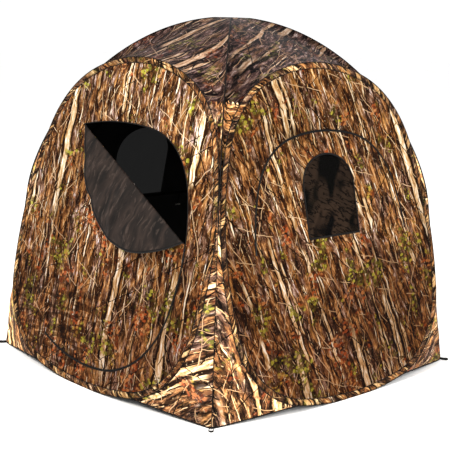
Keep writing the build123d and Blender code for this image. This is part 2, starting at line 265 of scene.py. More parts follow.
def clip(loop, point, normal):
    """The part of a convex loop on the side of a line that the normal points to."""
    out = []
    side = (loop - point) @ normal
    for i in range(len(loop)):
        j = (i + 1) % len(loop)
        if side[i] >= 0:
            out.append(loop[i])
        if side[i] * side[j] < 0:
            t = side[i] / (side[i] - side[j])
            out.append(loop[i] + t * (loop[j] - loop[i]))
    return np.array(out)


def fade(d, width):
    """A smooth 0 to 1 step as d goes from 0 to width."""
    t = np.clip(d / width, 0, 1)
    return t * t * (3 - 2 * t)


# ---- mesh building -----------------------------------------------------------------------------
def new_object(name, verts, faces, uvs=None, materials=(), face_slots=None, smooth=True):
    """A mesh object in the scene; uvs are print coordinates, one for each vertex."""
    mesh = bpy.data.meshes.new(name)
    mesh.from_pydata([tuple(v) for v in verts], [], [tuple(f) for f in faces])
    for m in materials:
        mesh.materials.append(m)
    if uvs is not None:
        layer = mesh.uv_layers.new(name="print")
        index = np.zeros(len(mesh.loops), np.int32)
        mesh.loops.foreach_get("vertex_index", index)
        layer.data.foreach_set("uv", np.asarray(uvs, np.float32)[index].ravel())
    if face_slots is not None:
        mesh.polygons.foreach_set("material_index", np.asarray(face_slots, np.int32))
    mesh.polygons.foreach_set("use_smooth", np.full(len(mesh.polygons), smooth))
    mesh.update()
    obj = bpy.data.objects.new(name, mesh)
    bpy.context.scene.collection.objects.link(obj)
    return obj


def thicken(obj, thick=CLOTH, inner_slot=1):
    """Give a cloth its second side, with the coated face inward."""
    mod = obj.modifiers.new("cloth", "SOLIDIFY")
    mod.thickness = thick
    mod.offset = -1.0
    mod.use_even_offset = False
    mod.material_offset = inner_slot
    mod.material_offset_rim = 0
    mesh = bpy.data.meshes.new_from_object(obj.evaluated_get(bpy.context.evaluated_depsgraph_get()))
    obj.modifiers.clear()
    obj.data = mesh
    return obj


def edited(obj, change):
    """Run a change on an object's mesh."""
    bm = bmesh.new()
    bm.from_mesh(obj.data)
    change(bm)
    bm.to_mesh(obj.data)
    bm.free()
    return obj


def fix_normals(obj):
    """Turn all faces outward."""
    return edited(obj, lambda bm: bmesh.ops.recalc_face_normals(bm, faces=bm.faces))


def weld(obj, reach):
    """Join points closer than reach, and drop faces without area."""
    def change(bm):
        bmesh.ops.remove_doubles(bm, verts=bm.verts, dist=reach)
        bmesh.ops.dissolve_degenerate(bm, edges=bm.edges, dist=1e-6)
    return edited(obj, change)


def merged(name, objects):
    """Join several meshes into the first one."""
    with bpy.context.temp_override(active_object=objects[0], object=objects[0],
                                   selected_objects=objects, selected_editable_objects=objects):
        bpy.ops.object.join()
    objects[0].name = name
    return objects[0]


def net(outer, holes, spacing, seed):
    """A triangle net over a flat region with holes; boundary points come first, and all faces
    wind counter-clockwise."""
    loops = [outer] + list(holes)
    rng = np.random.default_rng(seed)
    lo, hi = outer.min(0), outer.max(0)
    rows = []
    y, k = lo[1], 0
    while y < hi[1]:
        xs = np.arange(lo[0] + (k % 2) * spacing / 2, hi[0], spacing)
        rows.append(np.stack([xs, np.full(len(xs), y)], 1))
        y += spacing * 0.866
        k += 1
    pts = np.vstack(rows)
    pts += rng.uniform(-0.12, 0.12, pts.shape) * spacing
    keep = inside(pts, outer)
    for h in holes:
        keep &= ~inside(pts, h)
    pts = pts[keep]
    near = np.full(len(pts), 1e9)
    for loop in loops:
        near = np.minimum(near, distance(pts, loop))
    pts = pts[near > spacing * 0.5]
    verts = [Vector(p) for p in np.vstack(loops + [pts])]
    edges, base = [], 0
    for loop in loops:
        n = len(loop)
        edges += [(base + i, base + (i + 1) % n) for i in range(n)]
        base += n
    out_v, _, faces, _, _, _ = geometry.delaunay_2d_cdt(verts, edges, [], 0, 1e-7)
    out_v = np.array([tuple(v) for v in out_v])
    faces = np.array([f for f in faces if len(f) == 3])
    mid = out_v[faces].mean(1)
    keep = inside(mid, outer)
    for h in holes:
        keep &= ~inside(mid, h)
    faces = faces[keep]
    a, b, c = out_v[faces[0]]
    if (b[0] - a[0]) * (c[1] - a[1]) - (b[1] - a[1]) * (c[0] - a[0]) < 0:
        faces = faces[:, ::-1]
    return out_v, faces


def print_origin(side):
    """Where a wall's print starts."""
    return np.array((PRINT_STEP * (TURNS[side] / 90), 0.0))


def flat_cloth(name, side, outer, holes, height, materials, seed, thick=CLOTH):
    """A wall-plane cloth with relief, printed outside and coated inside."""
    pts, faces = net(outer, holes, CLOTH_NET, seed)
    verts = on_wall(pts, height(pts) + CLOTH_LIFT, side)
    return thicken(new_object(name, verts, faces, pts + print_origin(side), materials), thick)


def tube(name, path, radius, materials, sides=10, closed=False, flat=(0, 0, 1)):
    """A round or flattened tube along 3D points; flat is the section's up direction."""
    path = np.asarray(path, float)
    n = len(path)
    if closed:
        tangent = np.roll(path, -1, 0) - np.roll(path, 1, 0)
    else:
        tangent = np.gradient(path, axis=0)
    tangent /= np.linalg.norm(tangent, axis=1)[:, None]
    up = np.broadcast_to(np.asarray(flat, float), path.shape)
    across = np.cross(tangent, up)
    across /= np.linalg.norm(across, axis=1)[:, None] + 1e-12
    up = np.cross(across, tangent)
    wide, tall = radius if isinstance(radius, tuple) else (radius, radius)
    along = run_length(path)
    verts, uv = [], []
    for k in range(sides):
        a = 2 * math.pi * k / sides
        verts.append(path + across * wide * math.cos(a) + up * tall * math.sin(a))
        uv.append(np.stack([along, np.full(n, k / sides * 0.02)], 1))
    verts = np.stack(verts, 1).reshape(-1, 3)
    uv = np.stack(uv, 1).reshape(-1, 2)
    faces = []
    for i in range(n if closed else n - 1):
        j = (i + 1) % n
        for k in range(sides):
            m = (k + 1) % sides
            faces.append((i * sides + k, j * sides + k, j * sides + m, i * sides + m))
    if not closed:
        faces.append(tuple(reversed(range(sides))))
        faces.append(tuple((n - 1) * sides + k for k in range(sides)))
    return new_object(name, verts, faces, uv, materials)


def strip_section(near, far, low, high, sign=1):
    """A flat strip's section, from near to far across and from low to high."""
    return [(sign * near, low), (sign * far, low), (sign * far, high), (sign * near, high)]


def sweep(name, side, arcs, section, materials, closed=False, step=0.010, shift=(0.0, 0.0),
          wobble=None, slots=None, run=False):
    """A section of (outward offset, height) points run along a chain in the wall plane; wobble
    scales the height along it, and with run=True the print follows the chain."""
    rows = [sample(arcs, off, step) for off, _ in section]
    if closed:
        rows = [r[:-1] for r in rows]
    n, m = len(rows[0]), len(section)
    along = run_length(rows[0])
    scale = wobble(along) if wobble else 1.0
    verts, uvs = [], []
    for (off, w), row in zip(section, rows):
        verts.append(on_wall(row, w * scale, side))
        flat = np.stack([np.full(n, off), along], 1) if run else row
        uvs.append(flat + np.array(shift) + print_origin(side))
    verts = np.stack(verts, 1).reshape(-1, 3)
    uvs = np.stack(uvs, 1).reshape(-1, 2)
    faces, slot = [], []
    for i in range(n if closed else n - 1):
        j = (i + 1) % n
        for k in range(m):
            after = (k + 1) % m
            faces.append((i * m + k, i * m + after, j * m + after, j * m + k))
            slot.append(slots[k] if slots else 0)
    if not closed:
        faces.append(tuple(range(m))[::-1])
        faces.append(tuple((n - 1) * m + k for k in range(m)))
        slot += [0, 0]
    return fix_normals(new_object(name, verts, faces, uvs, materials, slot))


def blocks(name, side, arcs, offset, w, size, pitch, materials, slant=0.0):
    """Small separate blocks along a chain: zip teeth or sewn stitches."""
    row = sample(arcs, offset, pitch)
    ahead = np.gradient(row, axis=0)
    ahead /= np.hypot(*ahead.T)[:, None]
    out = np.stack([-ahead[:, 1], ahead[:, 0]], 1)
    if slant:
        ahead = ahead + out * slant
        ahead /= np.hypot(*ahead.T)[:, None]
        out = np.stack([-ahead[:, 1], ahead[:, 0]], 1)
    length, across, high = size
    verts = []
    for a in (-0.5, 0.5):
        for b in (-0.5, 0.5):
            for c in (-0.5, 0.5):
                taper = 0.75 if c > 0 else 1.0
                p = row + ahead * (a * length * taper) + out * (b * across * taper)
                verts.append(on_wall(p, w + c * high, side))
    verts = np.stack(verts, 1).reshape(-1, 3)
    quads = [(0, 1, 3, 2), (4, 6, 7, 5), (0, 4, 5, 1), (2, 3, 7, 6), (0, 2, 6, 4), (1, 5, 7, 3)]
    faces = []
    for i in range(len(row)):
        faces += [tuple(i * 8 + q for q in quad) for quad in quads]
    return new_object(name, verts, faces, np.repeat(row, 8, 0), materials, smooth=False)


def grid_faces(n, m, flip=False):
    """The quads of a grid of n by m points."""
    faces = []
    for i in range(n - 1):
        for j in range(m - 1):
            f = (i * m + j, (i + 1) * m + j, (i + 1) * m + j + 1, i * m + j + 1)
            faces.append(f[::-1] if flip else f)
    return faces


def stand_in(node):
    """Let a piece stand for a CAD node, by hiding that node."""
    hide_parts(node)


def attach(obj, body, node):
    """Let a piece ride on a body and stand for a CAD node."""
    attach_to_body(obj, body)
    stand_in(node)


# ---- materials ---------------------------------------------------------------------------------
def srgb(r, g, b):
    """An 8-bit display colour as linear values."""
    out = []
    for v in (r, g, b):
        v /= 255.0
        out.append(v / 12.92 if v <= 0.04045 else ((v + 0.055) / 1.055) ** 2.4)
    return (*out, 1.0)


class Shader:
    """A material's node tree, with short calls to add nodes and join them."""

    def __init__(self, name):
        self.material = bpy.data.materials.new(name)
        self.material.use_nodes = True
        self.tree = self.material.node_tree
        self.tree.nodes.clear()

    def feed(self, socket, value):
        """Link a value to a socket, or set it."""
        if isinstance(value, bpy.types.NodeSocket):
            self.tree.links.new(value, socket)
        else:
            socket.default_value = value

    def add(self, kind, inputs=None, **props):
        node = self.tree.nodes.new(kind)
        for key, value in props.items():
            setattr(node, key, value)
        for key, value in (inputs or {}).items():
            self.feed(node.inputs[key], value)
        return node

    def print_uv(self):
        """The cloth's print coordinates, in metres."""
        return self.add("ShaderNodeUVMap", uv_map="print").outputs["UV"]

    def place(self):
        """The object's own coordinates, in metres."""
        return self.add("ShaderNodeTexCoord").outputs["Object"]

    def vec(self, op, a, b):
        return self.add("ShaderNodeVectorMath", {0: a, 1: b}, operation=op).outputs["Vector"]

    def math(self, op, a, b):
        return self.add("ShaderNodeMath", {0: a, 1: b}, operation=op).outputs[0]

    def times(self, a, b):
        return self.math("MULTIPLY", a, b)

    def turned(self, p, angle, scale=(1, 1, 1), shift=(0, 0, 0)):
        return self.add("ShaderNodeMapping", {"Vector": p, "Rotation": (0, 0, math.radians(angle)),
                                              "Scale": scale, "Location": shift}).outputs[0]

    def noise(self, p, scale=1.0, detail=3.0, rough=0.55):
        node = self.add("ShaderNodeTexNoise", {"Vector": p, "Scale": scale, "Detail": detail,
                                               "Roughness": rough})
        return node.outputs["Fac"]

    def streaks(self, p, density, detail=3.0, rough=0.55, angle=0, shift=(0, 0)):
        """Noise with its own density across and along the cloth."""
        return self.noise(self.turned(p, angle, (*density, 1), (*shift, 0)), 1.0, detail, rough)

    def warp(self, p, scale, amount):
        """The same coordinates, bent by soft noise."""
        node = self.add("ShaderNodeTexNoise", {"Vector": p, "Scale": scale, "Detail": 2.0})
        shift = self.vec("SUBTRACT", node.outputs["Color"], (0.5, 0.5, 0.5))
        return self.vec("ADD", p, self.vec("MULTIPLY", shift, (amount, amount, 0.0)))

    def step(self, value, low, high):
        """A smooth 0 to 1 step as value goes from low to high."""
        return self.add("ShaderNodeMapRange", {"Value": value, "From Min": low, "From Max": high},
                        interpolation_type="SMOOTHSTEP").outputs[0]

    def between(self, value, low, high):
        """A 0 to 1 value, mapped to low to high."""
        return self.add("ShaderNodeMapRange", {"Value": value, "To Min": low, "To Max": high}).outputs[0]

    def ramp(self, fac, stops, mode="LINEAR"):
        """A colour ramp from stops of (place, linear colour)."""
        node = self.add("ShaderNodeValToRGB", {"Fac": fac})
        ramp = node.color_ramp
        ramp.interpolation = mode
        while len(ramp.elements) > 1:
            ramp.elements.remove(ramp.elements[-1])
        ramp.elements[0].position = stops[0][0]
        ramp.elements[0].color = stops[0][1]
        for place, colour in stops[1:]:
            ramp.elements.new(place).color = colour
        return node.outputs["Color"]

    def shades(self, fac, *stops, mode="LINEAR"):
        """A colour ramp from stops of (place, red, green, blue), in 8-bit display values."""
        return self.ramp(fac, [(place, srgb(*rgb)) for place, *rgb in stops], mode)

    def tones(self, fac, colour, *stops):
        """A ramp between strengths of one linear colour, from stops of (place, strength)."""
        return self.ramp(fac, [(place, (*(v * strength for v in colour[:3]), 1))
                               for place, strength in stops])

    def mix(self, fac, a, b, mode="MIX"):
        node = self.add("ShaderNodeMix", data_type="RGBA", blend_type=mode)
        for index, value in ((0, fac), (6, a), (7, b)):
            self.feed(node.inputs[index], value)
        return node.outputs[2]

    def paint(self, colour, mask, share, *rgb):
        """Lay an 8-bit display colour over a share of the masked part."""
        return self.mix(self.times(mask, share), colour, srgb(*rgb))

    def printed(self, colour, inks):
        """Give each of red, green and blue its power, its gain and its most."""
        parts = self.add("ShaderNodeSeparateColor", {"Color": colour}).outputs
        out = {}
        for channel, (power, gain, most) in zip(("Red", "Green", "Blue"), inks):
            ink = self.times(self.math("POWER", parts[channel], power), gain)
            out[channel] = self.math("MINIMUM", ink, most)
        return self.add("ShaderNodeCombineColor", out).outputs[0]

    def weave(self, uv, pitch=0.0011):
        """A fine plain weave height from two crossed waves."""
        x, y = (self.add("ShaderNodeTexWave", {"Vector": uv, "Scale": 0.159 / pitch},
                         bands_direction=way).outputs["Fac"] for way in "XY")
        return self.times(x, y)

    def surface(self, colour, rough, height=None, bump=0.2, metal=0.0, alpha=1.0, specular=0.5,
                distance=0.001, glow=0.0):
        inputs = {"Base Color": colour, "Roughness": rough, "Metallic": metal, "Alpha": alpha,
                  "Specular IOR Level": specular}
        if glow:
            inputs["Emission Color"] = (1.0, 1.0, 1.0, 1.0)
            inputs["Emission Strength"] = glow
        if height is not None:
            node = self.add("ShaderNodeBump", {"Height": height, "Strength": bump,
                                               "Distance": distance})
            inputs["Normal"] = node.outputs[0]
        bsdf = self.add("ShaderNodeBsdfPrincipled", inputs)
        out = self.add("ShaderNodeOutputMaterial")
        self.tree.links.new(bsdf.outputs[0], out.inputs[0])
        return self.material


def lines(g, p, angle, spacing, run, width, seed, gate):
    """Long thin marks that run one way: masks for the mark and for its dark surround."""
    q = g.turned(g.turned(p, angle), 0, (1 / spacing, 1 / run, 1), (seed, seed * 0.37, 0))
    across = g.add("ShaderNodeSeparateXYZ", {0: q}).outputs[0]
    edge = g.add("ShaderNodeTexVoronoi", {"W": across, "Scale": 1.0}, voronoi_dimensions="1D",
                 feature="DISTANCE_TO_EDGE").outputs["Distance"]
    shown = g.step(g.streaks(q, (0.8, 1), 2.0), gate, gate + 0.03)
    core = g.times(g.step(edge, width / spacing, 0.65 * width / spacing), shown)
    side = g.times(g.step(edge, 2.0 * width / spacing, 1.2 * width / spacing), shown)
    return core, side


# Power, gain and most of the red, green and blue inks. The walls have warm dark marks, and pale
# marks that are almost white.
PLAIN_INKS = ((1.22, 1.00, 10.0), (1.22, 1.00, 10.0), (1.22, 1.00, 10.0))
WALL_INKS = ((1.12, 0.96, 0.95), (1.28, 1.34, 0.80), (1.56, 3.08, 0.64))

# Pale trunks and reeds: spacing, length, half width, seed and how rare they are.
PALE_LINES = ((0.045, 0.16, 0.0024, 7.4, 0.53), (0.100, 0.34, 0.0050, 3.3, 0.52),
              (0.170, 0.60, 0.0110, 2.2, 0.51), (0.360, 1.10, 0.0200, 5.9, 0.47))
# Crossing twigs: lean, spacing, length, half width, seed, how rare they are and colour.
TWIGS = ((24, 0.075, 0.20, 0.0024, 1.3, 0.49, (20, 14, 11)),
         (-31, 0.085, 0.22, 0.0026, 6.1, 0.49, (20, 14, 11)),
         (63, 0.120, 0.24, 0.0022, 9.7, 0.49, (20, 14, 11)),
         (5, 0.060, 0.30, 0.0030, 4.8, 0.49, (20, 14, 11)),
         (-22, 0.080, 0.18, 0.0020, 3.9, 0.52, (188, 154, 114)),
         (38, 0.100, 0.16, 0.0018, 12.4, 0.52, (188, 154, 114)),
         (-58, 0.130, 0.16, 0.0018, 8.8, 0.52, (188, 154, 114)))


def camo(name, angle=0.0, shade=1.0, grey=0.0, shift=0.0, leaves=1.0, grade=True,
         tint=(1.0, 1.0, 1.0), still_water=False, inks=PLAIN_INKS):
    """Printed woodland camouflage in the cloth's own print coordinates (metres): blurred reeds,
    long pale trunks, dark and light twigs and small leaf clusters, darker towards the ground."""
    g = Shader(name)
    uv = g.print_uv()
    p0 = g.turned(uv, angle, (1, 1, 1), (shift, shift * 0.6, 0))
    p = g.warp(p0, 3.5, 0.040)
    fine = g.warp(p, 34.0, 0.010)

    # blurred bark and reeds, in a warm and a cool family, with gold patches and deep shadows
    warm = g.shades(g.streaks(fine, (60, 12), 5.0, 0.70),
                    (0.32, 18, 12, 9), (0.40, 54, 36, 26), (0.46, 94, 65, 45), (0.53, 140, 99, 65),
                    (0.60, 192, 141, 91), (0.67, 236, 196, 144), (0.75, 252, 234, 202))
    cool = g.shades(g.streaks(fine, (56, 13), 5.0, 0.70, 8, (3.1, 7.7)),
                    (0.33, 18, 13, 11), (0.42, 60, 43, 34), (0.51, 108, 81, 65),
                    (0.60, 170, 138, 112), (0.70, 244, 224, 194))
    patch = g.streaks(p, (15, 4.5), 4.0, 0.6, shift=(1.7, 0.4))
    colour = g.mix(g.step(patch, 0.49 - grey, 0.55 - grey), warm, cool)
    gold = g.step(g.streaks(fine, (20, 5), 4.0, 0.6, shift=(6.6, 2.9)), 0.53, 0.66)
    colour = g.paint(colour, gold, 0.30, 212, 158, 92)
    shadow = g.step(g.streaks(fine, (30, 8), 5.0, 0.70, -6, (8.3, 2.1)), 0.49, 0.56)
    colour = g.paint(colour, shadow, 0.84, 20, 13, 10)

    # pale trunks with dark edges, then thin twigs over them
    grain = g.streaks(fine, (90, 12), 4.0, 0.7)
    pale = g.shades(grain, (0.34, 128, 94, 62), (0.48, 196, 156, 108), (0.62, 240, 214, 170))
    bent = g.warp(g.warp(p, 9.0, 0.030), 26.0, 0.008)
    for spacing, run, width, seed, gate in PALE_LINES:
        core, side = lines(g, bent, 2.0, spacing, run, width, seed, gate)
        colour = g.mix(side, colour, srgb(36, 24, 16))
        colour = g.mix(core, colour, pale)
    for lean, spacing, run, width, seed, gate, ink in TWIGS:
        colour = g.mix(lines(g, bent, lean, spacing, run, width, seed, gate)[0], colour, srgb(*ink))

    # dark ripples at the foot of the wall
    across, rise = g.add("ShaderNodeSeparateXYZ", {0: uv}).outputs[:2]
    if still_water:
        band = g.step(g.streaks(g.warp(p, 9.0, 0.040), (5, 30), 2.0, 0.55, 5, (4.4, 0.9)), 0.47, 0.53)
        where = g.times(g.step(rise, 0.46, 0.34), g.step(across, 0.20, -0.05))
        colour = g.paint(colour, g.times(band, where), 0.66, 26, 19, 15)

    # leaf clusters, green or rust, more of them near the ground
    low = g.step(rise, 0.95, 0.35) if grade else 0.4
    cover = g.math("ADD", g.streaks(p, (8.5, 6), 3.0, 0.6, shift=(5.5, 1.2)), g.times(low, 0.050))
    leaf = g.add("ShaderNodeTexVoronoi", {"Vector": g.turned(g.warp(p, 46.0, 0.011), 30, (52, 74, 1)),
                                          "Scale": 1.0}).outputs
    shape = g.times(g.step(leaf["Distance"], 0.66, 0.46), g.step(cover, 0.565, 0.61))
    pick = g.add("ShaderNodeSeparateColor", {"Color": leaf["Color"]}).outputs[0]
    green = g.shades(pick, (0.0, 66, 64, 32), (0.3, 112, 108, 52), (0.55, 160, 150, 66),
                     (0.78, 84, 72, 40), mode="CONSTANT")
    rust = g.shades(pick, (0.0, 104, 58, 38), (0.3, 156, 84, 50), (0.55, 182, 122, 78),
                    (0.78, 76, 48, 36), mode="CONSTANT")
    kind = g.streaks(p, (5.2, 5.2), 1.0, shift=(9.9, 3.3))
    leaf_colour = g.mix(g.step(kind, 0.47, 0.53), green, rust)
    colour = g.mix(g.times(shape, 0.85 * leaves), colour, leaf_colour)

    # small pale specks, then light and dark areas and the darker foot
    speck = g.step(g.streaks(fine, (120, 100), 2.0, 0.6, 20), 0.64, 0.72)
    colour = g.paint(colour, speck, 0.55, 236, 206, 160)
    level = g.tones(g.streaks(p0, (2.6, 1.8), shift=(0.3, 6.6)), tint,
                    (0.38, 0.70 * shade), (0.62, 1.10 * shade))
    colour = g.mix(1.0, colour, level, "MULTIPLY")
    if grade:
        tone = g.ramp(g.step(rise, 0.25, 1.05), [(0.0, (0.66, 0.60, 0.58, 1)),
                                                 (1.0, (1.05, 1.00, 0.91, 1))])
        colour = g.mix(1.0, colour, tone, "MULTIPLY")
    return g.surface(g.printed(colour, inks), g.between(grain, 0.62, 0.82), g.weave(uv), 0.25,
                     specular=0.03, distance=0.0004)


def coating(name, colour, rough, glow=0.0):
    """The black polyurethane-coated back of the cloth, with a faint weave and scuffs."""
    g = Shader(name)
    uv = g.print_uv()
    mottle = g.streaks(uv, (9, 7), 4.0, 0.6)
    tone = g.tones(mottle, colour, (0.3, 0.8), (0.7, 1.25))
    shine = g.between(mottle, rough - 0.08, rough + 0.12)
    return g.surface(tone, shine, g.weave(uv), 0.3, specular=0.2, distance=0.0004, glow=glow)


def creased(name):
    """The coated side on the hanging flap: soft hanging folds and small sharp creases, with painted
    shade and painted highlights that follow them.
    """
    g = Shader(name)
    p = g.warp(g.turned(g.print_uv(), -38), 6.0, 0.07)
    folds = g.streaks(p, (4, 13), 2.0, 0.5)
    fine = g.streaks(g.warp(p, 20.0, 0.03), (14, 60), 4.0, 0.6, 14)
    # the colour rises and falls with the folds: painted shading of the folds
    tone = g.shades(folds, (0.36, 17, 14, 12), (0.47, 29, 23, 20), (0.56, 39, 31, 27),
                    (0.64, 21, 17, 15))
    # painted highlights on the crease ridges
    tone = g.paint(tone, g.step(fine, 0.57, 0.62), 0.24, 84, 71, 64)
    # painted shade in the crease hollows
    tone = g.paint(tone, g.step(fine, 0.43, 0.38), 0.5, 9, 7, 6)
    height = g.math("ADD", folds, g.times(fine, 0.35))
    return g.surface(tone, 0.55, height, 0.6, specular=0.08, distance=0.006)


def webbing(name, colour):
    """Woven narrow tape: ribs across, with slight wear."""
    g = Shader(name)
    p = g.place()
    ribs = g.add("ShaderNodeTexWave", {"Vector": p, "Scale": 90.0, "Distortion": 1.5},
                 bands_direction="DIAGONAL").outputs["Fac"]
    tone = g.tones(g.noise(p, 60.0, 4.0, 0.6), colour, (0.35, 0.7), (0.7, 1.6))
    return g.surface(tone, 0.8, ribs, 0.35, specular=0.12, distance=0.0006)


def metal(name, colour, rough, metallic=1.0):
    """Enamelled or bare metal with fine scratches."""
    g = Shader(name)
    scratch = g.noise(g.turned(g.place(), 0, (300, 300, 40)), 1.0, 4.0, 0.6)
    shine = g.between(scratch, rough - 0.1, rough + 0.15)
    tone = g.tones(scratch, colour, (0.3, 0.85), (0.7, 1.0))
    return g.surface(tone, shine, scratch, 0.08, metal=metallic, distance=0.0002)


def shoot_mesh(name):
    """Shoot-through mesh: nearly black, with painted brown reflections in soft crumpled patches, painted
    shade along its crease lines and a fine weave.
    """
    g = Shader(name)
    uv = g.print_uv()
    p = g.warp(g.turned(uv, 24), 7.0, 0.040)
    # the brown patches on the black are painted reflections
    colour = g.shades(g.streaks(p, (7, 3.5), 2.0, 0.5),
                      (0.40, 3, 3, 2), (0.46, 30, 22, 16), (0.60, 42, 31, 23), (0.66, 4, 3, 3))
    crumple = g.streaks(p, (8, 34), 3.0, 0.6, 35, (2.2, 5.1))
    crease = g.times(g.step(crumple, 0.485, 0.505), g.step(crumple, 0.560, 0.540))
    # painted shade along the crease lines
    colour = g.paint(colour, crease, 0.85, 3, 2, 2)
    alpha = g.between(g.weave(uv, 0.0016), 0.97, 0.99)
    return g.surface(colour, 0.55, crumple, 0.5, alpha=alpha, specular=0.015, distance=0.004)


CAMO = camo("camo_wall", angle=-3.0, shade=1.06, tint=(1.0, 1.03, 1.14), still_water=True,
            inks=WALL_INKS)
CAMO_LEAN, CAMO_PANEL = (camo(name, angle=-17.0, shade=0.88, shift=1.4, tint=(1.0, 1.0, 1.08),
                              inks=WALL_INKS)
                         for name in ("camo_wall_leaning", "camo_panel_leaning"))
# the roof's print is darkened and cooled as painted shade, the across gores more than the along ones
CAMO_ROOF = [camo("camo_roof_" + name, angle=turn, shade=dim, grey=0.16, shift=move, leaves=0.6,
                  grade=False, tint=(1.0, 1.04, 1.42))
             for name, turn, dim, move in (("along", 4.0, 0.61, 5.3), ("across", 54.0, 0.52, 8.1))]
CAMO_TURNED = camo("camo_turned", angle=58.0, shade=1.38, shift=2.9, grade=False,
                   tint=(1.0, 1.04, 1.2))
CAMO_FOOT = camo("camo_foot", angle=-20.0, shade=1.75, shift=6.1, leaves=0.6, grade=False,
                 tint=(1.0, 1.03, 1.1))
CAMO_SLEEVE = camo("camo_sleeve", angle=38.0, shade=0.95, shift=7.7, leaves=0.4, grade=False)
COATED = coating("black_coating", srgb(16, 15, 15), 0.6)
FLAP_BACK = creased("coated_flap")
MESH_CLOTH = shoot_mesh("shoot_through_mesh")
# a faint glow stands for the daylight that the mesh lets through
MESH_INSIDE = coating("mesh_inside", srgb(26, 28, 27), 0.7, glow=0.012)
BINDING = webbing("black_binding", srgb(12, 10, 9))
WEBBING = webbing("stake_webbing", srgb(10, 10, 10))
TAPE = webbing("zip_tape", srgb(12, 9, 8))
COIL = coating("zip_coil", srgb(9, 8, 7), 0.55)
TOGGLE = coating("pale_toggle", srgb(196, 194, 186), 0.4)
ENAMEL = metal("black_enamel", srgb(24, 24, 25), 0.4, 0.6)
STEEL = metal("blued_spring_steel", srgb(88, 88, 92), 0.3)
FERRULE = metal("crimped_ferrule", srgb(150, 150, 152), 0.35)


# ---- regions of the walls ------------------------------------------------------------------------
def door_loop(offset):
    """The door's outline, from its hinge line round inside the zip."""
    loop = sample(DOOR, offset, 0.010)
    return clip(loop, np.array((DOOR_HINGE_U, 0.0)), np.array((1.0, 0.0)))


def window_loop(offset, bottom):
    """A window's outline: the arch of its zip, closed along its fold."""
    arch = sample(WINDOW, offset, 0.010)
    left, right = arch[0][0], arch[-1][0]
    return np.vstack([arch, [(right, bottom), (left, bottom)]])


CHORD_DIR = (CHORD_B - CHORD_A) / np.hypot(*(CHORD_B - CHORD_A))
CHORD_UP = np.array((-CHORD_DIR[1], CHORD_DIR[0]))
HOOP_EDGE = sample(HOOP, -0.009, 0.012)[:-1]


def above_chord(u, s, gap=0.0):
    """Whether a point lies on the flap's side of its fold line."""
    return (np.array((u, s)) - CHORD_A) @ CHORD_UP > gap


def part_of(arcs, test):
    """The run of a chain whose points pass a test, as arcs with trimmed sweeps."""
    out = []
    for cx, cy, radius, angle, turn in arcs:
        n = max(8, int(abs(turn) * 4))
        marks = []
        for k in range(n + 1):
            a = math.radians(angle + turn * k / n)
            marks.append(test(cx + radius * math.cos(a), cy + radius * math.sin(a)))
        k = 0
        while k <= n:
            if marks[k]:
                first = k
                while k < n and marks[k + 1]:
                    k += 1
                if k > first:
                    out.append((cx, cy, radius, angle + turn * first / n, turn * (k - first) / n))
            k += 1
    return out


def wall_relief(seed, holes):
    """Tension folds, a slight outward belly and puckers that die out at sewn edges."""
    def height(pts):
        u, s = pts[:, 0], pts[:, 1]
        d = distance(pts, HOOP_EDGE)
        env = fade(d, 0.11)
        w = 0.009 * env * (1 - (u / 0.70) ** 2) * np.cos((s - 0.7) * 1.6)
        w += 0.0042 * env * waves(u, s, seed, 7.0, 1.9)
        w += 0.0016 * env * waves(u, s, seed + 1, 22.0, 1.6)
        angle = np.arctan2(s - 0.72, u)
        pucker = np.sin(angle * 46 + 3 * waves(angle, angle * 0, seed + 2, 3.0))
        w += 0.0016 * pucker * np.exp(-(d / 0.05) ** 2) * fade(d, 0.012)
        for h in holes:
            w *= fade(distance(pts, h), 0.035)
        return w
    return height


def panel_relief(seed, loop, belly):
    """A zipped panel: flat at its edge, with soft hanging folds inside."""
    def height(pts):
        u, s = pts[:, 0], pts[:, 1]
        env = fade(distance(pts, loop), 0.06)
        w = belly * env
        w += 0.0040 * env * waves(u, s, seed, 8.0, 1.8)
        w += 0.0014 * env * waves(u, s, seed + 1, 24.0, 1.5)
        return w
    return height


# ---- walls with their sleeves --------------------------------------------------------------------
holes = {"front": [densify(door_loop(ZIP_EDGE), 0.012)]}
for side in WINDOW_SIDES:
    holes[side] = [densify(window_loop(ZIP_EDGE, WINDOW_HINGE_S), 0.012)]

SLEEVE_SECTION = []
for k in range(SLEEVE_SIDES):
    a = 2 * math.pi * k / SLEEVE_SIDES
    x, y = math.cos(a), math.sin(a)
    SLEEVE_SECTION.append((SLEEVE_HALF * math.copysign(abs(x) ** 0.8, x),
                           SLEEVE_TALL * y * (1 - 0.55 * x * x)))
# the first half of the section is printed, the half that faces inward is coated
SLEEVE_SLOTS = [0] * (SLEEVE_SIDES // 2) + [1] * (SLEEVE_SIDES // 2)


def gathers(seed):
    """Small gathers along a sleeve, as a factor on its height."""
    def factor(along):
        return (0.94 + 0.08 * waves(along, along * 0, 40 + seed, 55.0)
                + 0.05 * waves(along, along * 0, 50 + seed, 17.0))
    return factor


